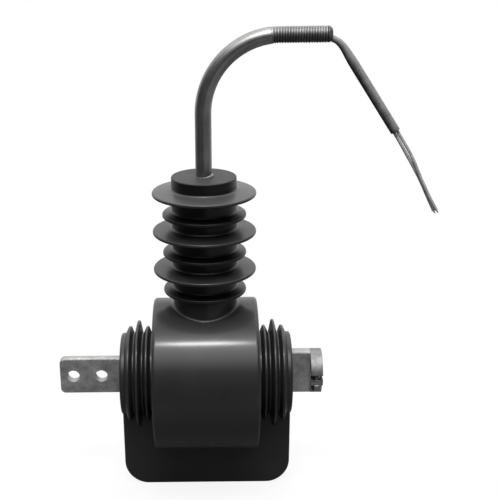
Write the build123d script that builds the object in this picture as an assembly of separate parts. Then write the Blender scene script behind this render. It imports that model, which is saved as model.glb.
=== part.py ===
from build123d import *
import math
import os

# Outdoor current transformer, cast in dark resin. Millimetres, +Z up.
# The floor is z = 0, the post stands on the Z axis, the terminals lie along X, the front is -Y.

# Housing round the core, a drum lying along X
axis_height = 121.0
drum_radius = 78.5
drum_half_length = 52.9
drum_rim_round = 3.4
neck_radius = 32.0
neck_root_round = 3.5
neck_root_rise = 9.5

# Ribbed bushings that carry the terminals out of the drum
bushing_radius = 42.3
bushing_rim_round = 2.2
bushing_rim_length = 8.8
rib_count = 3
rib_first_gap = 7.3
rib_pitch = 9.1
rib_height = 6.9
middle_rib_height = 12.8
rib_half_base = 4.1
rib_half_tip = 1.1
rib_tip_round = 0.9

# Foot under the drum, cast in one with it
foot_half_depth = 16.0
foot_draft = 0.6
foot_corner_round = 26.0
foot_edge_round = 2.0
foot_ground = 1.0

# Post insulator with large and small sheds
large_shed_radius = 51.2
small_shed_radius = 41.4
shed_count = 3
shed_pitch = 39.1
small_shed_rise = 6.7
large_shed_rise = 28.5
shed_rim_thickness = 3.2
shed_rim_round = 1.5
shed_root_rise = 2.4
shed_root_drop = 1.6
shed_root_round = 2.6
post_crown = 16.6
post_edge_round = 1.0

# Secondary conduit tube
tube_radius = 8.0
tube_wall = 1.5
tube_seat_depth = 15.0
tube_rise = 61.6
tube_bend_radius = 73.5
thread_length = 44.5
thread_relief = 0.35
seal_radius = 9.9
seal_height = 2.8
seal_round = 1.2
end_bushing_radius = 7.8
end_bushing_length = 4.6
end_bushing_round = 4.2
end_bushing_seat = 6.0

# Terminals
terminal_seat = 9.1
bar_half_height = 19.0
bar_half_thickness = 4.9
bar_drop = 0.4
bar_hole_gap = 21.5
bar_hole_pitch = 29.0
bar_hole_edge = 13.8
bar_hole_radius = 6.5
bar_corner_round = 5.0
bar_edge_bevel = 0.6
block_reach = 20.3
block_half_thickness = 6.0
block_half_height = 22.6
block_lift = 1.8
block_edge_bevel = 0.8
collar_radius = 22.7
collar_width = 11.8
collar_bore_radius = 11.0
collar_slit = 4.2
collar_slit_rise = 1.2
collar_jaw_round = 1.0
lug_thickness = 6.4
lug_depth = 11.7

# Secondary leads: points (x, z) from the mouth of the tube, then from the mouth of the sleeve
sleeve_radius = 4.7
sleeve_points = ((-7.6, -1.5), (0.9, -1.5), (8.8, -11.0), (61.6, -92.5))
wire_radius = 1.6
wire_gap = 0.15
wire_lead_in = 8.0
wire_points = ((15.6, -25.2), (27.8, -49.4), (36.6, -67.8), (43.2, -80.0))
wire_bows = (0.4, 0.3, 0.3, 0.3)
wire_twist_degrees = (25.0, 80.0, 66.0, 50.0)
core_radius = 0.75
core_length = 3.0
run_share = 0.45

# Heights and reaches that follow from the sizes above
drum_top = axis_height + drum_radius
neck_root_top = drum_top + neck_root_rise
last_shed_rise = large_shed_rise + (shed_count - 1) * shed_pitch
post_top = neck_root_top + last_shed_rise + post_crown
tube_run_height = post_top + tube_rise + tube_bend_radius
tube_end = tube_bend_radius + thread_length
tube_mouth = tube_end + end_bushing_length
first_rib = drum_half_length + rib_first_gap
bushing_end = first_rib + (rib_count - 1) * rib_pitch + bushing_rim_length
terminal_start = drum_half_length + terminal_seat
bar_end = bushing_end + bar_hole_gap + bar_hole_pitch + bar_hole_edge
block_end = bushing_end + block_reach

overrun = 5.0
tolerance = 0.01


def save(name, shape):
    """Write one node, which has to be one solid."""
    solids = shape.solids()
    if len(solids) != 1:
        raise ValueError("%s has %d solids" % (name, len(solids)))
    solids[0].label = name
    export_step(solids[0], "parts/%s.step" % name)
    print("%-22s volume %10.1f mm3" % (name, solids[0].volume))


def between(items, axis, value):
    """The items whose centre lies at one value along an axis."""
    return items.filter_by_position(axis, value - tolerance, value + tolerance)


def turned_on_x(points, rounds):
    """A body turned about the terminal axis from (x, radius) points, corners rounded by radius."""
    face = Plane.XZ * make_face(Polyline(*points, close=True))
    for radius, corner_round in rounds:
        face = fillet(between(face.vertices(), Axis.Z, radius), corner_round)
    return Pos(0, 0, axis_height) * revolve(face, Axis.X)


def core_drum():
    """The round housing of the core, with the root of the neck blended into it."""
    end = drum_half_length
    outline = [(-end, 0), (end, 0), (end, drum_radius), (-end, drum_radius)]
    drum = turned_on_x(outline, [(drum_radius, drum_rim_round)])
    stub_height = neck_root_top - axis_height
    stub = Pos(0, 0, axis_height + stub_height / 2) * Cylinder(neck_radius, stub_height)
    whole = drum + stub
    seam = [edge for edge in whole.edges() if edge.geom_type not in (GeomType.CIRCLE, GeomType.LINE)]
    return fillet(seam, neck_root_round)


def foot_slab(drum):
    """The flat foot: drafted sides, round lower corners, a ground base, saddles for the drum and bushings."""
    top, low = bushing_end, bushing_end - foot_draft
    cast_base = -foot_ground
    outline = [(-low, cast_base), (low, cast_base), (top, axis_height), (-top, axis_height)]
    face = Plane.XZ * make_face(Polyline(*outline, close=True))
    face = fillet(between(face.vertices(), Axis.Z, cast_base), foot_corner_round)
    slab = extrude(face, foot_half_depth, both=True)
    rims = between(slab.edges(), Axis.Y, foot_half_depth) + between(slab.edges(), Axis.Y, -foot_half_depth)
    lower = [edge for edge in rims if edge.center().Z < axis_height - tolerance]
    slab = fillet(lower, foot_edge_round)
    slab = split(slab, Plane.XY, keep=Keep.TOP)
    saddle = lying(-bushing_end - overrun, bushing_end + overrun, bushing_radius, axis_height)
    return slab - saddle - drum


def left_bushing_body(foot):
    """A ribbed bushing turned about the terminal axis, slotted where the foot stands under it."""
    points = [(drum_half_length, 0), (drum_half_length, bushing_radius)]
    heights = [middle_rib_height if rib == rib_count // 2 else rib_height for rib in range(rib_count)]
    for rib, height in enumerate(heights):
        middle, radius = first_rib + rib * rib_pitch, bushing_radius + height
        points += [(middle - rib_half_base, bushing_radius), (middle - rib_half_tip, radius)]
        points += [(middle + rib_half_tip, radius), (middle + rib_half_base, bushing_radius)]
    points += [(bushing_end, bushing_radius), (bushing_end, 0)]
    rounds = [(bushing_radius + height, rib_tip_round) for height in sorted(set(heights))]
    body = turned_on_x([(-x, radius) for x, radius in points], rounds)
    rim = between(body.edges().filter_by(GeomType.CIRCLE), Axis.X, -bushing_end)
    return fillet(rim, bushing_rim_round) - foot


def post_insulator():
    """The neck and its sheds, turned about the Z axis, with a seat for the tube."""
    rims = []
    for shed in range(shed_count):
        rims.append((neck_root_top + small_shed_rise + shed * shed_pitch, small_shed_radius))
        rims.append((neck_root_top + large_shed_rise + shed * shed_pitch, large_shed_radius))
    points = [(0, neck_root_top), (neck_radius, neck_root_top)]
    for z, radius in sorted(rims):
        low, high = z - shed_rim_thickness / 2, z + shed_rim_thickness / 2
        points += [(neck_radius, low - shed_root_drop), (radius, low)]
        points += [(radius, high), (neck_radius, high + shed_root_rise)]
    points += [(neck_radius, post_top), (0, post_top)]
    face = Plane.XZ * make_face(Polyline(*points, close=True))
    for radius in (large_shed_radius, small_shed_radius):
        face = fillet(between(face.vertices(), Axis.X, radius), shed_rim_round)
    roots = between(face.vertices(), Axis.X, neck_radius)
    roots = roots.filter_by_position(Axis.Z, neck_root_top + tolerance, post_top - tolerance)
    face = fillet(roots, shed_root_round)
    shoulder = between(between(face.vertices(), Axis.X, neck_radius), Axis.Z, post_top)
    face = fillet(shoulder, post_edge_round)
    seat = Pos(0, 0, post_top - tube_seat_depth / 2) * Cylinder(tube_radius, tube_seat_depth)
    return revolve(face, Axis.Z) - seat


def swept(path, radius):
    """A round rod along a path."""
    start = Plane(origin=path @ 0, z_dir=path % 0)
    return sweep(start * Circle(radius), path=path)


def lying(x_from, x_to, radius, height):
    """A round rod along X at one height."""
    return Pos((x_from + x_to) / 2, 0, height) * Cylinder(radius, x_to - x_from, rotation=(0, 90, 0))


def conduit_tube():
    """The bent tube: seated in the post, its far end turned down for a thread."""
    foot = (0, 0, post_top - tube_seat_depth)
    corner = (0, 0, tube_run_height)
    end = (tube_end, 0, tube_run_height)
    path = FilletPolyline(foot, corner, end, radius=tube_bend_radius)
    tube = swept(path, tube_radius) - swept(path, tube_radius - tube_wall)
    start = tube_bend_radius
    sleeve = lying(start, tube_end + overrun, tube_radius + overrun, tube_run_height)
    keep = lying(start - overrun, tube_end + 2 * overrun, tube_radius - thread_relief, tube_run_height)
    return tube - (sleeve - keep)


def tube_base_seal():
    """The bead of sealant round the tube where it leaves the post."""
    bead = Pos(0, 0, post_top + seal_height / 2) * Cylinder(seal_radius, seal_height)
    bead = fillet(between(bead.edges(), Axis.Z, post_top + seal_height), seal_round)
    return bead - Pos(0, 0, post_top + seal_height / 2) * Cylinder(tube_radius, seal_height + overrun)


def tube_end_bushing(sleeve):
    """The rounded plug in the tube's mouth, bored for the sleeve that leaves by it."""
    head = lying(tube_end, tube_mouth, end_bushing_radius, tube_run_height)
    head = fillet(between(head.edges(), Axis.X, tube_mouth), end_bushing_round)
    spigot = lying(tube_end - end_bushing_seat, tube_end, tube_radius - tube_wall, tube_run_height)
    return head + spigot - sleeve


def left_terminal_bar():
    """The flat bar with two bolt holes, cast into the left bushing."""
    height = axis_height - bar_drop
    size = (bar_end - terminal_start, 2 * bar_half_thickness, 2 * bar_half_height)
    bar = Pos(-(bar_end + terminal_start) / 2, 0, height) * Box(*size)
    bar = fillet(between(bar.edges().filter_by(Axis.Y), Axis.X, -bar_end), bar_corner_round)
    front = -bar_half_thickness
    rims = between(bar.edges(), Axis.Y, front) + between(bar.edges(), Axis.Y, -front)
    bar = chamfer([edge for edge in rims if edge.center().X < -terminal_start - tolerance], bar_edge_bevel)
    first_hole = bushing_end + bar_hole_gap
    for offset in (first_hole, first_hole + bar_hole_pitch):
        hole_length = 2 * (bar_half_thickness + overrun)
        bar -= Pos(-offset, 0, height) * Cylinder(bar_hole_radius, hole_length, rotation=(90, 0, 0))
    return bar


def right_terminal_block():
    """The thicker block on the right, cast into its bushing."""
    size = (block_end - terminal_start, 2 * block_half_thickness, 2 * block_half_height)
    block = Pos((block_end + terminal_start) / 2, 0, axis_height + block_lift) * Box(*size)
    return chamfer(block.edges().filter_by(Axis.X), block_edge_bevel)


def clamp_collar():
    """The split collar on the end of the right block, open to the front, with a flat for its screw."""
    centre = axis_height + block_lift
    middle = block_end + collar_width / 2
    far = block_end + collar_width
    collar = lying(block_end, far, collar_radius, centre)
    collar -= lying(block_end - overrun, far + overrun, collar_bore_radius, centre)
    reach = collar_radius + overrun
    across = collar_width + 2 * overrun
    slit_height = centre + collar_slit_rise
    collar -= Pos(middle, -reach / 2, slit_height) * Box(across, reach, collar_slit)
    jaws = [edge for edge in collar.edges().filter_by(Axis.X)
            if edge.center().Y < -collar_bore_radius - tolerance]
    collar = fillet(jaws, collar_jaw_round)
    lug_floor = slit_height - collar_slit / 2 - lug_thickness
    spot = Box(across, lug_depth + overrun, reach, align=(Align.CENTER, Align.MIN, Align.MAX))
    return collar - Pos(middle, -reach, lug_floor) * spot


def routed(points):
    """A lead's path: straight runs joined by tangent arcs."""
    radii = []
    for before, here, after in zip(points, points[1:], points[2:]):
        run_in, run_out = here - before, after - here
        turn = math.radians(run_in.get_angle(run_out))
        radii.append(run_share * min(run_in.length, run_out.length) / math.tan(turn / 2))
    print("bend radii", [round(radius, 1) for radius in radii])
    return FilletPolyline(*points, radius=radii)


def check_tube(name, shape, path, radius):
    """Compare a tube's volume with its section times its length."""
    ideal = math.pi * radius ** 2 * path.length
    ratio = shape.volume / ideal
    print("%-22s length %6.1f mm, volume over section times length %.4f" % (name, path.length, ratio))


def lead_sleeve():
    """The sleeve that carries both leads out of the tube."""
    path = routed([Vector(tube_mouth + x, 0, tube_run_height + z) for x, z in sleeve_points])
    sleeve = swept(path, sleeve_radius)
    check_tube("lead sleeve", sleeve, path, sleeve_radius)
    return sleeve, Plane(origin=path @ 1, z_dir=path % 1)


def lead_wire(name, side, mouth):
    """One lead from the sleeve's mouth, twisted once past the other, and its bare end."""
    aside = mouth.x_dir * side
    behind = mouth.y_dir * side
    apart = wire_radius + wire_gap / 2
    points = [mouth.origin + aside * apart]
    points.append(points[0] + mouth.z_dir * wire_lead_in)
    for (x, z), bow, degrees in zip(wire_points, wire_bows, wire_twist_degrees):
        twist = math.radians(degrees)
        across = aside * math.cos(twist) + behind * math.sin(twist)
        points.append(mouth.origin + Vector(x, 0, z) + across * (apart + bow))
    print("route of", name, [tuple(round(v, 3) for v in point) for point in points])
    path = routed(points)
    wire = swept(path, wire_radius)
    check_tube(name, wire, path, wire_radius)
    tip = Plane(origin=path @ 1, z_dir=path % 1)
    core = tip * Pos(0, 0, core_length / 2) * Cylinder(core_radius, core_length)
    return wire, core


def main():
    os.makedirs("parts", exist_ok=True)
    drum = core_drum()
    foot = foot_slab(drum)
    bar = left_terminal_bar()
    block = right_terminal_block()
    save("core_drum", drum)
    save("foot_slab", foot)
    bushing = left_bushing_body(foot)
    save("left_bushing", bushing - bar)
    save("right_bushing", mirror(bushing - mirror(block, Plane.YZ), Plane.YZ))
    save("post_insulator", post_insulator())
    save("left_terminal_bar", bar)
    save("right_terminal_block", block)
    save("clamp_collar", clamp_collar())
    save("conduit_tube", conduit_tube())
    save("tube_base_seal", tube_base_seal())
    sleeve, mouth = lead_sleeve()
    save("lead_sleeve", sleeve)
    save("tube_end_bushing", tube_end_bushing(sleeve))
    for name, side in (("lead_wire_a", -1), ("lead_wire_b", 1)):
        wire, core = lead_wire(name, side, mouth)
        save(name, wire)
        save(name.replace("wire", "end"), core)


main()
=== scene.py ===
# %% [markdown]
# # An outdoor current transformer, dressed for its portrait
# The part is a block of dark cast resin: a drum that holds the core, two ribbed bushings with
# metal terminals, a flat foot, and a post with sheds that carries the bent tube of the secondary
# leads. The solids come from CAD, in metres. This script adds what CAD leaves plain: finishes, the
# cut thread, the clamp screw, the hand-pressed bead of sealant and the leads' weave and strands.

# %% Load the solids and keep their box
import math
import bmesh
import bpy
from mathutils import Matrix, Vector, noise


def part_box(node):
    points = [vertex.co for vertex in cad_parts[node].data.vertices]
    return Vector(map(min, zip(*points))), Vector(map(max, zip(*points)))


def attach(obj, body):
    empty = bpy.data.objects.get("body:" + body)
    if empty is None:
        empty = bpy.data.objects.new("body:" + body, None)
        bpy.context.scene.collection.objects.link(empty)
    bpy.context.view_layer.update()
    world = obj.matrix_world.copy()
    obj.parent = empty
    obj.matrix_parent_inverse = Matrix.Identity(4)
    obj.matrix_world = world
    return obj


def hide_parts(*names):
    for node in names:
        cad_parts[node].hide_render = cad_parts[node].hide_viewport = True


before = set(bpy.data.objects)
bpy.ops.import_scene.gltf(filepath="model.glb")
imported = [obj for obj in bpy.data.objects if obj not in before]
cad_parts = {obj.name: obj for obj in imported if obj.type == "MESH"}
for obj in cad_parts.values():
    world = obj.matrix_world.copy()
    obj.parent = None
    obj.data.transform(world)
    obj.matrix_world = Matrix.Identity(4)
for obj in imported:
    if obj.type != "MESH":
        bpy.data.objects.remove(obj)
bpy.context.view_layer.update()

scene = bpy.context.scene

# %% [markdown]
# ## The camera
# The photograph was taken from about a metre away with the lens well above the terminals, then
# cropped so that the post stands left of the middle. A small lens shift does the same as the crop:
# turning the camera instead would make the post lean.

# %% Stand the camera where the photographer stood
photo_side = 500
focal_pixels = 1009.874
turned_left, tipped_down, leaning = 0.167, 19.10, -0.686
lens = bpy.data.cameras.new("photo_camera")
lens.sensor_width = 36.0
lens.lens = lens.sensor_width * focal_pixels / photo_side
lens.shift_x = 0.09
camera = bpy.data.objects.new("photo_camera", lens)
camera.location = (0.003121, -0.952836, 0.586132)
turn = Matrix.Rotation(math.radians(turned_left), 3, "Z")
tip = Matrix.Rotation(math.radians(90 - tipped_down), 3, "X")
roll = Matrix.Rotation(math.radians(leaning), 3, "Z")
camera.rotation_euler = (turn @ tip @ roll).to_euler()
scene.collection.objects.link(camera)
scene.camera = camera
print("lens %.1f mm, shift %.2f" % (lens.lens, lens.shift_x))

# %% [markdown]
# ## Sums with nodes
# Finishes and repeated shapes are both node trees, and trees are full of small sums. The class
# below wraps the output of a node, so that a plain sum in Python puts the Math nodes behind it.
# Adding a node is one call too: it sets the node's options, then fills or links its sockets.

# %% Helpers: add nodes and do sums with what they give
TURN = 2 * math.pi


def feed(value, socket):
    """Link a node's output to a socket, or set the socket's own value."""
    if isinstance(value, Value):
        value.tree.links.new(value.socket, socket)
    else:
        socket.default_value = value


def add(tree, kind, links=(), out=0, **settings):
    """Add a node, set its options, fill its sockets by name or number, and return one output."""
    node = tree.nodes.new(kind)
    for option, value in settings.items():
        setattr(node, option, value)
    for name, value in dict(links).items():
        feed(value, node.inputs[name])
    return Value(tree, node.outputs[out])


class Value:
    """An output of a node. Sums with it add Math nodes to its tree."""

    def __init__(self, tree, socket):
        self.tree, self.socket = tree, socket

    def step(self, operation, *others):
        """One Math node that starts with this value."""
        return add(self.tree, "ShaderNodeMath", enumerate((self, *others)), operation=operation)

    def __add__(self, other):
        return self.step("ADD", other)

    def __sub__(self, other):
        return self.step("SUBTRACT", other)

    def __rsub__(self, other):
        return add(self.tree, "ShaderNodeMath", {0: other, 1: self}, operation="SUBTRACT")

    def __mul__(self, other):
        return self.step("MULTIPLY", other)

    def __truediv__(self, other):
        return self.step("DIVIDE", other)


def axes(place):
    """The X, Y and Z of a vector."""
    node = place.tree.nodes.new("ShaderNodeSeparateXYZ")
    feed(place, node.inputs["Vector"])
    return [Value(place.tree, socket) for socket in node.outputs]


def spread(value, low, high, start=0.3, stop=0.7, slope="LINEAR"):
    """Map the range from start to stop onto low to high, and hold it beyond both ends."""
    return add(value.tree, "ShaderNodeMapRange", {"Value": value, "From Min": start, "From Max": stop,
                                                  "To Min": low, "To Max": high}, interpolation_type=slope)


def band(value, start, stop):
    """A soft step from 0 to 1."""
    return spread(value, 0.0, 1.0, start, stop, "SMOOTHSTEP")


def between(value, rise, risen, fall, fallen):
    """1 from risen to fall, 0 outside rise and fallen, with a slope on each side."""
    return spread(value, 0.0, 1.0, rise, risen) - spread(value, 0.0, 1.0, fall, fallen)


# %% [markdown]
# ## Recipes for finishes
# Every finish on the part is a Principled shader whose colour and roughness, and mostly its relief
# too, come from noise on Object coordinates. The pieces sit at the origin, so those coordinates are
# plain metres, and a scale of 400 means grains of about 2.5 mm. The colours are greys, some with a
# slight tint.

# %% Helpers: a blank finish, grains, shades, relief, and where a finish goes
def blank_finish(name):
    """A new material, its Object coordinates and its shader."""
    finish = bpy.data.materials.new(name)
    finish.use_nodes = True
    place = add(finish.node_tree, "ShaderNodeTexCoord", out="Object")
    return finish, place, finish.node_tree.nodes["Principled BSDF"]


def grain(place, scale, detail=3.0):
    """Noise at so many grains per metre, from 0 to 1."""
    return add(place.tree, "ShaderNodeTexNoise", {"Vector": place, "Scale": scale, "Detail": detail})


def shades(value, dark, light, start=0.3, stop=0.7):
    """Map the range from start to stop onto two colours; a single number is a plain grey."""
    node = value.tree.nodes.new("ShaderNodeValToRGB")
    for element, place, colour in zip(node.color_ramp.elements, (start, stop), (dark, light)):
        element.position = place
        element.color = (*(colour if isinstance(colour, tuple) else (colour,) * 3), 1.0)
    feed(value, node.inputs["Fac"])
    return Value(value.tree, node.outputs["Color"])


def relief(shader, height, depth, strength):
    """Let a height stand so many metres proud of the surface."""
    bump = add(height.tree, "ShaderNodeBump", {"Height": height, "Distance": depth, "Strength": strength})
    feed(bump, shader.inputs["Normal"])


def paint(shader, colour, rough, metallic=0.0):
    """Give a finish its colour and roughness, and say whether it is metal."""
    feed(colour, shader.inputs["Base Color"])
    feed(rough, shader.inputs["Roughness"])
    shader.inputs["Metallic"].default_value = metallic


def clothe(node, finish):
    """Put a finish on a solid from CAD."""
    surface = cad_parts[node].data
    surface.materials.clear()
    surface.materials.append(finish)
    print(node, "in", finish.name, "on", len(surface.polygons), "faces")


# %% [markdown]
# ## Cast resin
# Drum, foot, bushings and post are one casting of near-black epoxy. It left a polished mould, so
# it has a satin gloss that shows a lamp as a thin line, and only a hint of orange peel. The cap of
# the post was turned flat afterwards, and its faint rings catch the light. The rings follow the
# distance from the post's axis, and a height test keeps them on the cap. On the post the colour
# also holds painted light and shade: the rims of the sheds, the top shed and the cap are painted
# paler as painted light, and the neck between the sheds is painted near black as painted shade.
# Which is which follows from a point's distance from the axis and its height.

# %% Mix the resin, plain and with a turned cap
post_top, cap_edge = 0.3323, 0.0011
ring_pitch = 0.0021
painted_light_reach = (0.036, 0.050)
top_shed_heights = (0.3158, 0.3164, 0.3206, 0.3214)


def cast_resin(name, rough, coat_rough, turned_cap=False):
    finish, place, shader = blank_finish(name)
    tone, dark, pale, coat = grain(place, 22.0, 4.0), 0.021, 0.031, 0.45
    gloss = spread(grain(place, 60.0, 5.0), rough - 0.04, rough + 0.04)
    height = grain(place, 420.0, 2.0) * 0.25
    if turned_cap:
        up = axes(place)[2]
        flat = add(place.tree, "ShaderNodeVectorMath", {0: place, 1: (1.0, 1.0, 0.0)}, operation="MULTIPLY")
        reach = add(place.tree, "ShaderNodeVectorMath", {0: flat}, out="Value", operation="LENGTH")
        on_cap = up.step("GREATER_THAN", post_top - cap_edge)
        height = height + (reach * (TURN / ring_pitch)).step("SINE") * 0.45 * on_cap
        gloss = gloss + on_cap * 0.17
        # Painted light and shade: rims, top shed and cap paler, the neck between the sheds near black.
        painted_rim_light = spread(reach, 0.0, 0.45, *painted_light_reach)
        painted_light_and_shade = painted_rim_light.step("MAXIMUM", between(up, *top_shed_heights)).step("MAXIMUM", on_cap * 0.8)
        tone = tone * 0.3 + painted_light_and_shade * 0.7
        dark, pale, coat = 0.005, 0.060, spread(on_cap, 0.35, 0.0, 0.0, 1.0)
    paint(shader, shades(tone, (dark, dark, 1.02 * dark), (pale, pale, 1.02 * pale), 0.2, 0.8), gloss)
    feed(coat, shader.inputs["Coat Weight"])
    shader.inputs["Specular IOR Level"].default_value = 0.26
    shader.inputs["Coat Roughness"].default_value = coat_rough
    relief(shader, height, 0.00012, 0.35)
    return finish


resin = cast_resin("cast_resin", 0.40, 0.16)
capped_resin = cast_resin("cast_resin_turned_cap", 0.36, 0.25, turned_cap=True)
for node in ("core_drum", "foot_slab", "left_bushing", "right_bushing"):
    clothe(node, resin)

# %% [markdown]
# ## Growing pieces with Geometry Nodes
# Sheds, thread turns and strands repeat by a rule, so a node tree makes them and the sizes stay as
# named inputs. The helpers below start a tree, add the nodes that every tree needs, and run it: the
# modifier's inputs are set by each socket's identifier, the result becomes a plain mesh, and the
# modifier goes.

# %% Helpers: start a tree and end it
def new_tree(name, sizes):
    """An empty tree with a start, named sizes and a finish, and its inputs by name."""
    tree = bpy.data.node_groups.new(name, "GeometryNodeTree")
    kinds = [(size, "Int" if isinstance(value, int) else "Float") for size, value in sizes.items()]
    for size, kind in [("Start", "Geometry"), *kinds, ("Finish", "Material")]:
        tree.interface.new_socket(size, in_out="INPUT", socket_type="NodeSocket" + kind)
    tree.interface.new_socket("Piece", in_out="OUTPUT", socket_type="NodeSocketGeometry")
    return tree, {socket.name: Value(tree, socket) for socket in tree.nodes.new("NodeGroupInput").outputs}


def end_tree(geometry, finish):
    """Realize, shade smooth and set the material."""
    tree = geometry.tree
    for kind in ("RealizeInstances", "SetShadeSmooth"):
        geometry = add(tree, "GeometryNode" + kind, {"Geometry": geometry})
    painted = add(tree, "GeometryNodeSetMaterial", {"Geometry": geometry, "Material": finish})
    feed(painted, tree.nodes.new("NodeGroupOutput").inputs["Piece"])
    print("tree", tree.name, "has", len(tree.nodes), "nodes")


# %% Helpers: the nodes that several trees share
def vector(tree, **parts):
    """A vector from its X, Y and Z."""
    return add(tree, "ShaderNodeCombineXYZ", parts)


def circle(tree, segments, radius):
    return add(tree, "GeometryNodeCurvePrimitiveCircle", {"Resolution": segments, "Radius": radius})


def coil(tree, segments, turns, radius, height):
    """A helix of one radius."""
    return add(tree, "GeometryNodeCurveSpiral",
               {"Resolution": segments, "Rotations": turns, "Start Radius": radius, "End Radius": radius,
                "Height": height})


def sweep(path, profile, capped=True):
    """Carry a profile along a path."""
    return add(path.tree, "GeometryNodeCurveToMesh",
               {"Curve": path, "Profile Curve": profile, "Fill Caps": capped})


def join(*parts):
    node = parts[0].tree.nodes.new("GeometryNodeJoinGeometry")
    for part in parts:
        feed(part, node.inputs["Geometry"])
    return Value(parts[0].tree, node.outputs["Geometry"])


def store(geometry, name, value, kind="FLOAT"):
    """Keep a value on each point under a name."""
    return add(geometry.tree, "GeometryNodeStoreNamedAttribute",
               {"Geometry": geometry, "Name": name, "Value": value}, data_type=kind)


def stored(tree, name):
    return add(tree, "GeometryNodeInputNamedAttribute", {"Name": name}, data_type="FLOAT")


# %% Helpers: put an object in the scene, make a mesh plain, grow a piece
def put(name, data):
    """A new object in the scene, at the origin."""
    piece = bpy.data.objects.new(name, data)
    scene.collection.objects.link(piece)
    return piece


def plain_mesh(name, shape):
    """The mesh of a finished bmesh."""
    mesh = bpy.data.meshes.new(name)
    shape.to_mesh(mesh)
    shape.free()
    return mesh


def grow(name, start, tree, sizes, finish):
    """Run a tree on a starting mesh and return the result as a plain mesh object."""
    seed = put(name + "_start", start)
    growth = seed.modifiers.new("growth", "NODES")
    growth.node_group = tree
    values = {**sizes, "Finish": finish}
    for item in tree.interface.items_tree:
        if item.in_out == "INPUT" and item.name in values:
            growth[item.identifier] = values[item.name]
    graph = bpy.context.evaluated_depsgraph_get()
    mesh = bpy.data.meshes.new_from_object(seed.evaluated_get(graph), preserve_all_data_layers=True,
                                           depsgraph=graph)
    bpy.data.objects.remove(seed)
    mesh.name = name
    print(name, "has", sum(len(face.vertices) - 2 for face in mesh.polygons), "triangles")
    return put(name, mesh)


# %% [markdown]
# ## The post and its sheds
# The post repeats one pair of sheds, a small and a large, three times at an even pitch. CAD has
# the same shape, but here the outline of one pair is repeated, its corners rounded and the whole
# turned on the post's axis, which gives rims fine enough for a close look. The outline lies flat
# with its radius along X and its height along minus Y, because that is how Curve to Mesh stands
# a profile on a circle.

# %% Draw the outline of one pair of sheds
neck_radius = 0.032
root_height = 0.209
half_rim = 0.0016
cone_drop, cone_rise = 0.0016, 0.0024
neck_below, neck_above = 0.0035, 0.0032
root_round, rim_round = 0.0026, 0.0015
root_clear, rim_clear = 0.0043, 0.00195
small_shed, large_shed = (0.0067, 0.0414), (0.0285, 0.0512)


def along(a, b, share):
    return tuple(p + (q - p) * share for p, q in zip(a, b))


def shed_outline(rise, radius):
    """One shed from root to root, with plain points near the corners to keep the cones straight."""
    low, high = rise - half_rim, rise + half_rim
    under, over = (neck_radius, low - cone_drop), (neck_radius, high + cone_rise)
    below, above = (radius, low), (radius, high)
    near_root, near_rim = (root_clear / (radius - neck_radius), 1 - rim_clear / (radius - neck_radius))
    return [((neck_radius, under[1] - neck_below), 0.0), (under, root_round),
            (along(under, below, near_root), 0.0), (along(under, below, near_rim), 0.0),
            (below, rim_round), (above, rim_round),
            (along(over, above, near_rim), 0.0), (along(over, above, near_root), 0.0),
            (over, root_round), ((neck_radius, over[1] + neck_above), 0.0)]


pair = shed_outline(*small_shed) + shed_outline(*large_shed)
pair_mesh = bpy.data.meshes.new("shed_pair")
pair_mesh.from_pydata([(radius, -root_height - height, 0.0) for (radius, height), corner in pair], [], [])
rounds = pair_mesh.attributes.new("corner_round", "FLOAT", "POINT")
for mark, (place, corner) in zip(rounds.data, pair):
    mark.value = corner
print("outline of one pair:", len(pair), "points")

# %% Build the tree that stacks, rounds and turns the outline
post_sizes = {"Pair count": 3, "Pair pitch": 0.0391, "Neck radius": neck_radius, "Crown height": post_top,
              "Crown round": 0.001, "Turn segments": 144}
crown_rings, first_ring, ring_step = 6, 0.95, 0.19
corner_steps, pin_radius = 6, 0.00001
sheds, given = new_tree("shed_stack", post_sizes)
drop = vector(sheds, Y=given["Pair pitch"] * -1.0)
steps = add(sheds, "GeometryNodeMeshLine", {"Count": given["Pair count"], "Offset": drop}, mode="OFFSET")
pairs = add(sheds, "GeometryNodeInstanceOnPoints", {"Points": steps, "Instance": given["Start"]})
stack = add(sheds, "GeometryNodeRealizeInstances", {"Geometry": pairs})
dots = add(sheds, "GeometryNodeMeshToPoints", {"Mesh": stack})
crown_y = given["Crown height"] * -1.0
edge_at = vector(sheds, X=given["Neck radius"], Y=crown_y)
crown_edge = add(sheds, "GeometryNodePoints", {"Count": 1, "Position": edge_at})
rounded_edge = store(crown_edge, "corner_round", given["Crown round"])
order = add(sheds, "GeometryNodeInputIndex")
ring_at = vector(sheds, X=given["Neck radius"] * (first_ring - order * ring_step), Y=crown_y)
rings = add(sheds, "GeometryNodePoints", {"Count": crown_rings, "Position": ring_at})
line = add(sheds, "GeometryNodePointsToCurves", {"Points": join(rings, rounded_edge, dots), "Weight": order})
rounded = add(sheds, "GeometryNodeFilletCurve",
              {"Curve": line, "Count": corner_steps, "Radius": stored(sheds, "corner_round"),
               "Limit Radius": True}, mode="POLY")
axle = circle(sheds, given["Turn segments"], pin_radius)
upright = add(sheds, "GeometryNodeSetCurveNormal", {"Curve": axle}, mode="Z_UP")
outside = add(sheds, "GeometryNodeFlipFaces", {"Mesh": sweep(upright, rounded, capped=False)})
end_tree(outside, given["Finish"])

# %% [markdown]
# The turned shell is open at its foot and has a pinhole on its axis. Both rims are filled, so that
# the post is a closed body, and marked sharp, so that the new faces don't bend the shading.

# %% Turn the post and close it
post = grow("shed_post", pair_mesh, sheds, post_sizes, capped_resin)
shell = bmesh.new()
shell.from_mesh(post.data)
open_rims = [edge for edge in shell.edges if edge.is_boundary]
for edge in open_rims:
    edge.smooth = False
bmesh.ops.holes_fill(shell, edges=open_rims)
shell.to_mesh(post.data)
shell.free()
reach = [[f(v.co[k] for v in post.data.vertices) for k in range(3)] for f in (min, max)]
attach(post, "root")
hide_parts("post_insulator")
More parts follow.
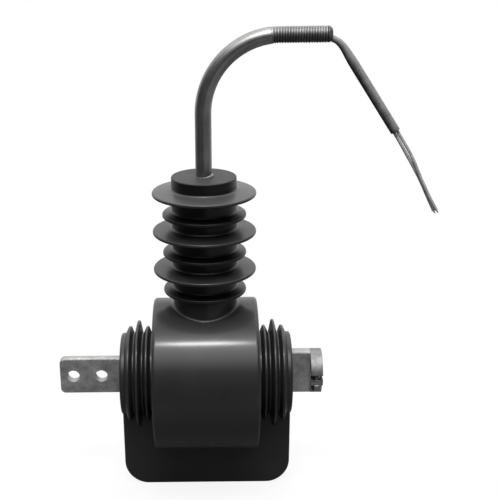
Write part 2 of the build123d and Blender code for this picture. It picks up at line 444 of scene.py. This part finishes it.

# %% [markdown]
# ## Drawn steel for the tube
# The tube was drawn through a die, which leaves fine lines along its length, and it has gone dull
# outdoors. Lines along a bent tube can't come from Object coordinates, so the tree below stores a
# vector on each point: the cosine and sine of the place round the tube, and the way along it.
# Noise on that vector, drawn out along the tube, gives lines that follow the bend. The tree also
# stores how deep each point lies in the thread, which paints the grooves darker as painted shade,
# and where the thread is at all: its turns are rougher, painted lighter on top as painted light and
# darker below as painted shade.

# %% Mix the tube's steel
thread_low, thread_high = 0.4645, 0.4720


def attribute(tree, name, out):
    return add(tree, "ShaderNodeAttribute", out=out, attribute_name=name)


tube_steel, place, shader = blank_finish("drawn_tube_steel")
tree = place.tree
# The drawn vector, scaled so that noise on it stretches along the tube.
stretched_and_painted_sheen = add(tree, "ShaderNodeMapping",
                {"Vector": attribute(tree, "drawn", "Vector"), "Scale": (9.0, 9.0, 14.0)})
lines = grain(stretched_and_painted_sheen, 1.0, 6.0)
dull = spread(grain(place, 90.0, 5.0), 0.42, 0.58)
groove, threaded = attribute(tree, "groove", "Fac"), attribute(tree, "threaded", "Fac")
# Painted light and shade on the thread: lighter on top, darker below.
thread_painted_light_and_shade = spread(axes(place)[2], -0.25, 0.14, thread_low, thread_high) * threaded
# Painted shade: the grooves are darker.
tone = dull + spread(lines, -0.12, 0.12) + thread_painted_light_and_shade - groove * 0.45
rough = spread(lines * 0.6 + dull * 0.4, 0.30, 0.42) + threaded * 0.12
paint(shader, shades(tone, (0.09, 0.09, 0.089), (0.62, 0.62, 0.615), 0.0, 1.0), rough, metallic=1.0)
relief(shader, lines, 0.00008, 0.3)
print("steel mixed with", len(tree.nodes), "nodes")

# %% [markdown]
# ## The conduit tube and its thread
# The tube rises from the cap, bends through a right angle and ends in a thread for a conduit
# fitting. A thread could be a separate helix laid on the tube, but a real one is cut into it, and
# here the first turns even run back into the bend. So one tree bends the path with Fillet Curve,
# sweeps a circle along it, and then sinks each point by a wave of the way along plus the place
# round the tube, which is a helical groove. It fades in over the first turns.

# %% Size the tube and draw its path
tube_height, tube_end, bend_radius, tube_radius = 0.4674, 0.117, 0.0735, 0.008
thread_pitch, thread_lead = 0.0025, 0.0105
tube_foot = post_top - 0.004
inside_cad = 0.00003
bend_end = (tube_height - bend_radius - tube_foot) + bend_radius * math.pi / 2
tube_sizes = {"Bend radius": bend_radius, "Tube radius": tube_radius - inside_cad, "Ring spacing": 0.0003,
              "Thread start": bend_end - thread_lead, "Thread pitch": thread_pitch, "Thread depth": 0.0008,
              "Thread run in": 0.004}
tube_path = bpy.data.meshes.new("tube_path")
tube_path.from_pydata([(0, 0, tube_foot), (0, 0, tube_height), (tube_end, 0, tube_height)],
                      [(0, 1), (1, 2)], [])
print("thread of", round((tube_end - bend_radius + thread_lead) / thread_pitch, 1), "turns")

# %% Build the tree for a bent tube with a cut thread
bend_steps, tube_segments = 96, 56
tube_tree, given = new_tree("threaded_tube", tube_sizes)
way = add(tube_tree, "GeometryNodeMeshToCurve", {"Mesh": given["Start"]})
bent = add(tube_tree, "GeometryNodeFilletCurve",
           {"Curve": way, "Count": bend_steps, "Radius": given["Bend radius"]}, mode="POLY")
even = add(tube_tree, "GeometryNodeResampleCurve",
           {"Curve": bent, "Length": given["Ring spacing"]}, mode="LENGTH")
level = add(tube_tree, "GeometryNodeSetCurveNormal", {"Curve": even}, mode="MINIMUM_TWIST")
travel, share = (add(tube_tree, "GeometryNodeSplineParameter", out=out) for out in ("Length", "Factor"))
ring = circle(tube_tree, tube_segments, given["Tube radius"])
swept = sweep(store(level, "along", travel), store(ring, "around", share))
way_along, way_round = stored(tube_tree, "along"), stored(tube_tree, "around")
wave = ((way_along / given["Thread pitch"] + way_round) * TURN).step("COSINE")
fade = band((way_along - given["Thread start"]) / given["Thread run in"], 0.0, 1.0)
sunk = (1.0 - wave) * 0.5 * fade
normal = add(tube_tree, "GeometryNodeInputNormal")
sink = add(tube_tree, "ShaderNodeVectorMath", {0: normal, "Scale": sunk * given["Thread depth"] * -1.0},
           operation="SCALE")
cut = add(tube_tree, "GeometryNodeSetPosition", {"Geometry": swept, "Offset": sink})
angle = way_round * TURN
drawn = store(cut, "drawn", vector(tube_tree, X=angle.step("COSINE"), Y=angle.step("SINE"), Z=way_along),
              "FLOAT_VECTOR")
end_tree(store(store(drawn, "groove", sunk), "threaded", fade), given["Finish"])

# %% Bend the tube and cut its thread
tube = grow("conduit_tube_threaded", tube_path, tube_tree, tube_sizes, tube_steel)
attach(tube, "root")
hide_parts("conduit_tube")

# %% [markdown]
# ## The plug in the tube's mouth
# A soft rounded plug closes the tube, and the sleeve squeezes out through it. CAD bores the plug for
# the full sleeve, but the sleeve is pinched thin here, so a plug without that gap is turned from its
# outline: a list of radii and heights, carried round Z and then laid along the tube.

# %% Helpers: turn an outline, mix a moulded plastic
def lathe(points, segments):
    """A closed bmesh turned about Z from (radius, height) points, given upwards on the outside."""
    shape = bmesh.new()
    rows = []
    for radius, height in points:
        angles = [TURN * i / segments for i in range(segments if radius else 1)]
        rows.append([shape.verts.new((radius * math.cos(a), radius * math.sin(a), height)) for a in angles])
    for below, above in zip(rows, rows[1:]):
        for i in range(segments):
            loop = (below[i % len(below)], below[(i + 1) % len(below)],
                    above[(i + 1) % len(above)], above[i % len(above)])
            shape.faces.new(dict.fromkeys(loop))
    bmesh.ops.recalc_face_normals(shape, faces=shape.faces)
    return shape


def moulded(name, dark, light, rough, cloud_scale):
    finish, place, shader = blank_finish(name)
    paint(shader, shades(grain(place, cloud_scale, 4.0), dark, light),
          spread(grain(place, 500.0), rough - 0.06, rough + 0.06))
    relief(shader, grain(place, 1400.0, 2.0), 0.00006, 0.4)
    return finish


# %% Turn the plug
plug_low, plug_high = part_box("tube_end_bushing")
plug_radius, plug_round, plug_end = (plug_high.z - plug_low.z) / 2, 0.0044, plug_high.x - 0.0009
spigot_radius, spigot_depth, plug_edge, plug_steps = 0.0064, 0.003, 0.0003, 8
shoulder = plug_end - tube_end - plug_round
plug_outline = [(0, -spigot_depth), (spigot_radius, -spigot_depth), (spigot_radius, 0.0),
                (plug_radius - plug_edge, 0.0)]
for step in range(plug_steps + 1):
    a = math.pi / 2 * step / plug_steps
    plug_outline.append((plug_radius - plug_round * (1 - math.cos(a)), shoulder + plug_round * math.sin(a)))
plug_mesh = plain_mesh("rounded_plug", lathe(plug_outline + [(0, shoulder + plug_round)], 48))
plug_mesh.transform(Matrix.Translation((tube_end, 0, tube_height)) @ Matrix.Rotation(math.pi / 2, 4, "Y"))
plug_mesh.shade_smooth()
plug_plastic = moulded("plug_plastic", (0.06, 0.06, 0.061), (0.12, 0.12, 0.121), 0.24, 260.0)
plug_mesh.materials.append(plug_plastic)
plug = put("rounded_plug", plug_mesh)
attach(plug, "root")
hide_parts("tube_end_bushing")
print("plug of", len(plug_mesh.polygons), "faces, its end at", round(plug_end, 4))

# %% [markdown]
# ## The bead of sealant
# Where the tube leaves the cap, a bead of pale sealant was pressed in by hand, most of it on the
# right. A turned ring would look machined, so the section grows towards the right and swells a
# little as it goes round, by smooth noise that closes on itself because it is read on a circle.

# %% Press the bead round the tube
def sealant_bead(name, low, high, around=96, across=12, bite=0.0003):
    outer, rise = (high.x - low.x) / 2, high.z - low.z
    verts, faces = [], []
    for i in range(around):
        a = TURN * i / around
        swell = noise.noise(Vector((math.cos(a) * 1.7, math.sin(a) * 1.7, 4.2)))
        ripple = noise.noise(Vector((math.cos(a) * 6.0, math.sin(a) * 6.0, 1.1)))
        right = (0.5 + 0.5 * math.cos(a + 0.2)) ** 4
        width = (outer - tube_radius) * (0.10 + 0.80 * right + 0.10 * max(-1, min(1, swell + 0.4 * ripple)))
        lift = rise * (0.15 + 0.75 * right + 0.10 * max(-1, min(1, swell - 0.5 * ripple)))
        for j in range(across):
            b = math.pi / 2 * j / (across - 1)
            reach = tube_radius - bite + (width + bite) * math.cos(b) ** 0.8
            verts.append((reach * math.cos(a), reach * math.sin(a), low.z + lift * math.sin(b) ** 0.8))
    for i in range(around):
        for j in range(across):
            k, n = (i + 1) % around, (j + 1) % across
            faces.append((i * across + j, k * across + j, k * across + n, i * across + n))
    mesh = bpy.data.meshes.new(name)
    mesh.from_pydata(verts, [], faces)
    mesh.shade_smooth()
    return put(name, mesh)


sealant, place, shader = blank_finish("pale_sealant")
paint(shader, shades(grain(place, 300.0), 0.20, 0.32), spread(grain(place, 900.0), 0.22, 0.36))
relief(shader, grain(place, 700.0, 2.0), 0.0001, 0.3)
bead = sealant_bead("sealant_bead", *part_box("tube_base_seal"))
bead.data.materials.append(sealant)
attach(bead, "root")
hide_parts("tube_base_seal")
print("bead of", len(bead.data.polygons), "faces")

# %% [markdown]
# ## Blasted terminals
# Bar and block are tinned metal, blasted before casting: a pale, rough skin with small pits and no
# clear reflection. The blast is harshest on the chamfers, which are the dullest of all. The top face
# is painted darker as painted shade, most of all at the back, and the bolt holes are painted darker
# inside as painted shade. Each of these is found from the coordinates alone: a point is near an edge
# where it is close to two faces, and in a hole where it is far from front, back, top and bottom.

# %% Mix the blasted metal
chamfer, hole_edge, top_skin, front_edge = (0.0009, 0.0015), (0.0004, 0.0012), (0.0006, 0.0001), 0.0015


def blasted_metal(name, low, high):
    finish, place, shader = blank_finish(name)
    depth, up = axes(place)[1:]
    near_front = (high.y - low.y) / 2 - (depth - (low.y + high.y) / 2).step("ABSOLUTE")
    near_top = (high.z - low.z) / 2 - (up - (low.z + high.z) / 2).step("ABSOLUTE")
    pits, blotch = grain(place, 900.0, 5.0), grain(place, 110.0, 5.0)
    harsh = spread(near_front.step("MAXIMUM", near_top) + blotch * 0.0008, 1.0, 0.0, *chamfer)
    on_top = spread(up, 0.0, 1.0, *(high.z - skin for skin in top_skin))
    # Painted shade: the top face darker towards the back.
    painted_top_shade = spread(depth, 0.06, 0.36, low.y + front_edge, high.y)
    # Painted shade: darker inside the bolt holes.
    painted_hole_shade = spread(near_front.step("MINIMUM", near_top), 0.0, 0.22, *hole_edge)
    tone = blotch * 0.6 + pits * 0.4 - harsh * 0.16 - (on_top * painted_top_shade + painted_hole_shade)
    paint(shader, shades(tone, (0.46, 0.46, 0.456), (0.94, 0.94, 0.933), 0.36, 0.68),
          spread(pits, 0.42, 0.54) + harsh * 0.40, metallic=1.0)
    relief(shader, pits, 0.0003, 0.45)
    return finish


for node in ("left_terminal_bar", "right_terminal_block"):
    clothe(node, blasted_metal("blasted_" + node, *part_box(node)))

# %% [markdown]
# ## The turned clamp collar
# The split collar on the right block was turned on a lathe. Its skin is smoother than the block's,
# with fine rings round its own axis, which lies along X. Rings round X depend on X alone. The slit
# is painted dark inside as painted shade, and the lower jaw is painted paler than the rest as painted
# light. Both are found by their height.

# %% Finish the collar
collar_low, collar_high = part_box("clamp_collar")
collar_middle = (collar_low + collar_high) / 2
slit_shade_heights = [collar_middle.z + rise for rise in (-0.0022, -0.0014, 0.0033, 0.0040)]
jaw_light_heights = [collar_middle.z - drop for drop in (0.0040, 0.0022)]
collar_metal, place, shader = blank_finish("turned_collar_metal")
squeezed = add(place.tree, "ShaderNodeMapping", {"Vector": place, "Scale": (1.0, 0.01, 0.01)})
rings = grain(squeezed, 1800.0, 4.0)
up = axes(place)[2]
# Painted light: the lower jaw is paler.
painted_jaw_light = spread(up, 0.25, 0.0, *jaw_light_heights)
# Painted shade: dark inside the slit.
tone = grain(place, 180.0, 5.0) * 0.5 + (painted_jaw_light - between(up, *slit_shade_heights) * 0.35) + 0.16
paint(shader, shades(tone, 0.04, (0.64, 0.64, 0.635), 0.0, 1.0), spread(rings, 0.50, 0.64), metallic=1.0)
relief(shader, rings, 0.00012, 0.4)
clothe("clamp_collar", collar_metal)

# %% [markdown]
# ## The clamp screw
# A zinc-plated screw pulls the collar's jaws together. It goes in from below, so its hexagon head
# and washer sit under the flat of the lower jaw, and a little of its thread shows in the slit. The
# body is turned like the plug, the head with six sides only; a node tree winds the thread onto the
# shank, from a Spiral and a three-sided profile.

# %% Build the tree that winds a thread on a shank
shank, grip = 0.0026, 0.018
screw_sizes = {"Shank radius": shank, "Thread pitch": 0.001, "Thread length": grip, "Thread width": 0.0005}
screw_tree, given = new_tree("screw_thread", screw_sizes)
coils = given["Thread length"] / given["Thread pitch"]
helix = coil(screw_tree, 28, coils, given["Shank radius"], given["Thread length"])
ridge = sweep(helix, circle(screw_tree, 3, given["Thread width"]))
end_tree(join(given["Start"], ridge), given["Finish"])

# %% Turn the head, washer and shank, wind the thread and set the screw in the jaws
screw_reach, lug_floor = 0.0165, 0.1155
head_radius, head_end, head_bevel, head_slope = 0.0056, 0.0069, 0.0006, 0.0009
washer_radius, washer_depth, washer_bevel = 0.0056, 0.0015, 0.0002
shank_start, sharp_from = 0.001, math.radians(25)
head_outline = [(0, -head_end), (head_radius - head_slope, -head_end), (head_radius, head_bevel - head_end),
                (head_radius, -washer_depth), (0, -washer_depth)]
washer_outline = [(0, -washer_depth), (washer_radius - washer_bevel, -washer_depth),
                  (washer_radius, washer_bevel - washer_depth), (washer_radius, -washer_bevel),
                  (washer_radius - washer_bevel, 0.0), (0, 0.0)]
shank_outline = [(0, -shank_start), (shank, -shank_start), (shank, grip), (0, grip)]
screw_shape = bmesh.new()
for outline, sides in ((head_outline, 6), (washer_outline, 48), (shank_outline, 28)):
    screw_shape.from_mesh(plain_mesh("turned", lathe(outline, sides)))
for edge in screw_shape.edges:
    edge.smooth = edge.calc_face_angle(0.0) < sharp_from
screw_zinc, place, shader = blank_finish("screw_zinc")
paint(shader, shades(grain(place, 500.0), 0.30, 0.46), spread(grain(place, 900.0), 0.30, 0.46), metallic=1.0)
screw = grow("clamp_screw", plain_mesh("clamp_screw_body", screw_shape), screw_tree, screw_sizes, screw_zinc)
screw.data.transform(Matrix.Translation((collar_middle.x, -screw_reach, lug_floor)))
screw.data.materials.clear()
screw.data.materials.append(screw_zinc)
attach(screw, "root")
print("screw stands at", [round(v, 4) for v in (collar_middle.x, -screw_reach, lug_floor)])

# %% [markdown]
# ## The leads
# Two thin insulated leads come out of the tube in one sleeve. The sleeve droops from the plug and
# hangs down to the right. Past its cut end one lead crosses behind the other, and they run on to
# bare ends. Each route is a NURBS curve on a few control points, so it bends softly, as a stiff
# lead does. The wires use the corners of the CAD cords; the sleeve's first points sit a little lower.

# %% Lay the routes
sleeve_route = [(0.1150, 0, 0.4650), (0.1238, 0, 0.4632), (0.1312, 0, 0.4566), (0.1366, 0, 0.4482),
                (0.1842, 0, 0.3749)]
wire_routes = {"a": [(0.185606, 0, 0.375811), (0.189956, 0, 0.369097), (0.201378, -0.000877, 0.350723),
                     (0.212288, -0.001945, 0.325686), (0.221474, -0.001804, 0.307537),
                     (0.228465, -0.001513, 0.295590)],
               "b": [(0.182794, 0, 0.373989), (0.187144, 0, 0.367275), (0.198222, 0.000877, 0.348677),
                     (0.211712, 0.001945, 0.325314), (0.220126, 0.001804, 0.306663),
                     (0.226335, 0.001513, 0.294210)]}


def route(name, points):
    """A NURBS curve with these control points, and no thickness yet."""
    line = bpy.data.curves.new(name, "CURVE")
    line.dimensions = "3D"
    line.resolution_u = 24
    spline = line.splines.new("NURBS")
    spline.points.add(len(points) - 1)
    for point, place in zip(spline.points, points):
        point.co = (*place, 1.0)
    spline.order_u = 3
    spline.use_endpoint_u = True
    return line


def points_along(name, points):
    """The smooth line of a route, as Blender draws it."""
    holder = bpy.data.objects.new(name, route(name, points))
    mesh = bpy.data.meshes.new_from_object(holder)
    line = [vert.co.copy() for vert in mesh.vertices]
    bpy.data.objects.remove(holder)
    return line


def run(line):
    """The length of a line of points."""
    return sum((b - a).length for a, b in zip(line, line[1:]))


sleeve_line = points_along("sleeve_route", sleeve_route)
sleeve_length = run(sleeve_line)
print("sleeve line of", len(sleeve_line), "points,", round(sleeve_length, 4), "m")

# %% [markdown]
# ## The sleeve
# The sleeve is woven glass fibre, flattened a little where it leaves the tube and full at its cut
# end. It is a mesh tube on the route's own points, with a wall that turns in at the mouth, so that
# the leads visibly come out of a hollow. The way along and round it is stored for the weave. The
# way along also gives a painted highlight, paler near the plug, and the way round gives painted
# light and shade: paler on top, darker below.

# %% Weave the sleeve's finish
weave_pitch, weave_round, painted_light_round = 0.0019, 12.0, 9.0
woven, place, shader = blank_finish("woven_sleeve")
way_along, way_round, _ = axes(add(place.tree, "ShaderNodeUVMap", uv_map="weave"))
cross = ((way_along + way_round) * TURN).step("SINE") * ((way_along - way_round) * TURN).step("SINE")
blotch = grain(place, 120.0, 4.0)
# Painted highlight: the sleeve is paler near the plug.
stretched_and_painted_sheen = spread(way_along, 0.30, 0.0, 8.0, 19.0)
# Painted light and shade: paler on top of the sleeve, darker below.
sleeve_painted_light_and_shade = spread(((way_round - painted_light_round) * (TURN / weave_round)).step("COSINE"), -0.42, 0.34, -0.75, 0.45)
tone = blotch + stretched_and_painted_sheen + cross * 0.02 + sleeve_painted_light_and_shade
paint(shader, shades(tone, (0.04, 0.04, 0.041), 0.34, 0.15, 0.95), spread(blotch, 0.40, 0.55))
relief(shader, cross, 0.0002, 0.15)
print("weave of", weave_round, "threads round the sleeve")

# %% Sweep the sleeve along its line
pinched_radius, swelling, pinch_length, swell_length = 0.0032, 0.0016, 0.006, 0.036


def sleeve_radius(travel):
    """Pinched at the plug, full after 42 mm."""
    share = max(0.0, min(1.0, (travel - pinch_length) / swell_length))
    return pinched_radius + swelling * share * share * (3 - 2 * share)


def sleeve_tube(name, line, wall, depth, around=36):
    """A tube on a line of points whose end is hollow, with a weave map."""
    side = Vector((0, 1, 0))
    travel, rings = 0.0, []
    for i, point in enumerate(line):
        ahead = (line[min(i + 1, len(line) - 1)] - line[max(i - 1, 0)]).normalized()
        if i:
            travel += (point - line[i - 1]).length
        rings.append((point, ahead, travel, sleeve_radius(travel)))
    mouth, ahead, total, radius = rings[-1]
    rings.append((mouth + ahead * wall * 0.3, ahead, total + wall, radius - wall * 0.3))
    rings.append((mouth + ahead * wall * 0.3, ahead, total + 2 * wall, radius - wall * 0.7))
    rings.append((mouth, ahead, total + 3 * wall, radius - wall))
    rings.append((mouth - ahead * depth, ahead, total + 4 * wall, radius - wall))
    verts, faces, marks = [], [], []
    for point, ahead, travel, radius in rings:
        up = side.cross(ahead)
        for k in range(around):
            a = TURN * k / around
            verts.append(point + side * radius * math.cos(a) + up * radius * math.sin(a))
    for i in range(len(rings) - 1):
        for k in range(around):
            n = (k + 1) % around
            faces.append((i * around + k, (i + 1) * around + k, (i + 1) * around + n, i * around + n))
            marks.append([(rings[row][2] / weave_pitch, weave_round * (k + step) / around)
                          for row, step in ((i, 0), (i + 1, 0), (i + 1, 1), (i, 1))])
    last = (len(rings) - 1) * around
    for cap in (tuple(last + k for k in reversed(range(around))), tuple(range(around))):
        faces.append(cap)
        marks.append([(0.0, 0.0)] * around)
    mesh = bpy.data.meshes.new(name)
    mesh.from_pydata(verts, [], faces)
    weave = mesh.uv_layers.new(name="weave")
    for face, corners in zip(mesh.polygons, marks):
        for loop, mark in zip(face.loop_indices, corners):
            weave.data[loop].uv = mark
    mesh.shade_smooth()
    return put(name, mesh)


sleeve = sleeve_tube("lead_sleeve_woven", sleeve_line, wall=0.0009, depth=0.006)
sleeve.data.materials.append(woven)
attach(sleeve, "root")
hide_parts("lead_sleeve")
print("sleeve of", len(sleeve.data.polygons), "faces")

# %% [markdown]
# ## The two leads
# Each lead is a thin round wire with a smooth plastic skin: its route's own curve with a bevel.
# Its end is stripped, and the strands show. A tree lays six strands as one Spiral turned six times
# round a straight middle strand, and the result is moved to the end of its wire.

# %% Draw the leads
wire_plastic = moulded("wire_plastic", 0.45, 0.62, 0.28, 180.0)
wires = {}
for side, points in wire_routes.items():
    skin = route("lead_wire_skin_" + side, points)
    skin.bevel_depth = 0.0016
    skin.bevel_resolution = 5
    skin.use_fill_caps = True
    skin.materials.append(wire_plastic)
    wires[side] = put("lead_wire_skin_" + side, skin)
    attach(wires[side], "root")
    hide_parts("lead_wire_" + side)
    print("lead", side, "from", points[0], "to", points[-1])

# %% Build the tree for a stripped end
strand_sizes = {"Strand count": 6, "Lay radius": 0.0005, "Strand radius": 0.00025, "Bare length": 0.0034,
                "Lay turns": 0.45}
strand_tree, given = new_tree("stripped_end", strand_sizes)
strand = coil(strand_tree, 24, given["Lay turns"], given["Lay radius"], given["Bare length"])
spots = add(strand_tree, "GeometryNodePoints", {"Count": given["Strand count"]})
spin = add(strand_tree, "GeometryNodeInputIndex") / given["Strand count"] * TURN
facing = add(strand_tree, "FunctionNodeEulerToRotation", {"Euler": vector(strand_tree, Z=spin)})
laid = add(strand_tree, "GeometryNodeInstanceOnPoints",
           {"Points": spots, "Instance": strand, "Rotation": facing})
loose = add(strand_tree, "GeometryNodeRealizeInstances", {"Geometry": laid})
tip_at = vector(strand_tree, Z=given["Bare length"])
middle = add(strand_tree, "GeometryNodeCurvePrimitiveLine", {"End": tip_at})
solid = sweep(join(loose, middle), circle(strand_tree, 8, given["Strand radius"]))
end_tree(solid, given["Finish"])

# %% Strip the ends
rooted = 0.0006
tinned, place, shader = blank_finish("tinned_strands")
paint(shader, shades(grain(place, 800.0), (0.34, 0.33, 0.32), (0.55, 0.54, 0.53)),
      spread(grain(place, 1500.0), 0.25, 0.42), metallic=1.0)
for side, points in wire_routes.items():
    before, tip_end = Vector(points[-2]), Vector(points[-1])
    heading = (tip_end - before).normalized()
    start = bpy.data.meshes.new("stripped_start_" + side)
    end = grow("stripped_end_" + side, start, strand_tree, strand_sizes, tinned)
    facing = heading.to_track_quat("Z", "Y").to_matrix().to_4x4()
    end.data.transform(Matrix.Translation(tip_end - heading * rooted) @ facing)
    end.data.materials.clear()
    end.data.materials.append(tinned)
    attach(end, "root")
    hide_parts("lead_end_" + side)
    line = points_along("measured_" + side, points)
    length = run(line)
    print("lead", side, round(length, 4), "m")

# %% [markdown]
# ## The floor
# The object stands on a pale floor before a white background. To the camera the floor is nearly
# white, with a soft shadow near the object, and it fades to plain white further out. To the object
# it is much darker, or its light would wash out the dark front of the foot. The Light Path node
# tells the two kinds of ray apart.

# %% Lay the floor
def ray_is(tree, kind):
    """1 for rays of one kind, 0 for all others."""
    return add(tree, "ShaderNodeLightPath", out="Is %s Ray" % kind)


floor_radius, fade_from, fade_to = 0.38, 0.15, 0.36
lift_seen, lift_mirrored = 0.87, 0.03
floor_finish, place, shader = blank_finish("pale_floor")
tree = place.tree
tree.nodes.remove(shader)
to_camera = ray_is(tree, "Camera")
distance = add(tree, "ShaderNodeVectorMath", {0: place}, out="Value", operation="LENGTH")
shadowed = add(tree, "ShaderNodeBsdfDiffuse", {"Color": shades(grain(place, 30.0), 0.11, 0.13)})
glow = to_camera * lift_seen + ray_is(tree, "Glossy") * lift_mirrored
lift = add(tree, "ShaderNodeEmission", {"Strength": glow})
near_floor = add(tree, "ShaderNodeAddShader", {0: shadowed, 1: lift})
white = add(tree, "ShaderNodeEmission")
far = band(distance, fade_from, fade_to) * to_camera
blend = add(tree, "ShaderNodeMixShader", {"Fac": far, 1: near_floor, 2: white})
feed(blend, tree.nodes["Material Output"].inputs["Surface"])
disc = bmesh.new()
bmesh.ops.create_circle(disc, cap_ends=True, segments=96, radius=floor_radius)
floor = put("studio_floor", plain_mesh("studio_floor", disc))
floor.data.materials.append(floor_finish)
print("floor laid, radius", floor_radius)

# %% [markdown]
# ## The studio round the object
# The camera sees plain white. All other rays see a painted room: a backdrop behind the object, which
# is brighter in mirror-like surfaces, a ceiling light above and behind, and a broad soft light high
# in front, whose mirror image is the sheen that dims down the drum. Below the horizon, mirror-like
# rays that miss the floor see it go on, paler on the right.

# %% Paint the surroundings
front_glow, ceiling_glow, high_glow, dim_glow = 3.1, 1.6, 0.14, 0.035
backdrop_glow, backdrop_mirrored, floor_glow, right_glow = 0.45, 0.36, 0.05, 0.22
room = bpy.data.worlds.new("studio_room")
scene.world = room
room.use_nodes = True
tree = room.node_tree
sky = tree.nodes["Background"]
sky.inputs["Color"].default_value = (1.0, 1.0, 1.0, 1.0)
across, behind, height = axes(add(tree, "ShaderNodeTexCoord", out="Generated"))
mirrored = ray_is(tree, "Glossy").step("MAXIMUM", ray_is(tree, "Transmission"))
upright = band(height, -0.35, -0.05) * (1.0 - band(height, 0.40, 0.75))
backdrop = band(behind, 0.0, 0.7) * upright * (mirrored * backdrop_mirrored + backdrop_glow)
ceiling = band(behind, -0.25, 0.35) * band(height, 0.40, 0.80)
narrow = 1.0 - band(across.step("ABSOLUTE"), 0.35, 0.75)
front = narrow * band(behind * -1.0, -0.15, 0.40) * band(height, 0.42, 0.90)
above = band(height, 0.0, 0.9) * high_glow + (front * front_glow + ceiling * ceiling_glow)
paler_right = band(across, -0.05, 0.25) * band(height, -0.75, -0.45)
below = (mirrored - mirrored * band(height, -0.30, -0.02)) * (paler_right * right_glow + floor_glow)
studio = backdrop + below + (above + dim_glow)
feed(studio.step("MAXIMUM", ray_is(tree, "Camera")), sky.inputs["Strength"])
print("surroundings painted with", len(tree.nodes), "nodes")

# %% [markdown]
# ## The lamp
# The drum shows one thin bright line at two fifths of its height, above the broad sheen. A curved
# surface shows a lamp where its normal halves the angle between eye and lamp, which puts a narrow
# strip lamp 69 degrees up. Its power follows from its size and from how bright it looks.

# %% Hang the strip lamp
lamp_target, lamp_distance, lamp_glow = Vector((-0.012, -0.053, 0.179)), 1.1, 78.0
lamp_rise, lamp_turn = math.radians(69.3), math.radians(6)
lamp_width, lamp_depth = 0.16, 0.075
strip = bpy.data.lights.new("strip_lamp", "AREA")
strip.shape = "RECTANGLE"
strip.size, strip.size_y = lamp_width, lamp_depth
strip.energy = lamp_glow * math.pi * lamp_width * lamp_depth
away = Vector((0, -math.cos(lamp_rise), math.sin(lamp_rise)))
lamp = put("strip_lamp", strip)
lamp.location = lamp_target + away * lamp_distance
swing = Matrix.Rotation(lamp_turn, 3, "Z").to_quaternion()
lamp.rotation_euler = (away.to_track_quat("Z", "Y") @ swing).to_euler()
print("strip lamp gives", round(strip.energy, 2), "W")

# %% [markdown]
# ## The view transform
# The render uses the Standard view transform. The visual model has to stay inside the CAD
# model's box.

# %% Use the Standard view transform
scene.view_settings.view_transform = "Standard"
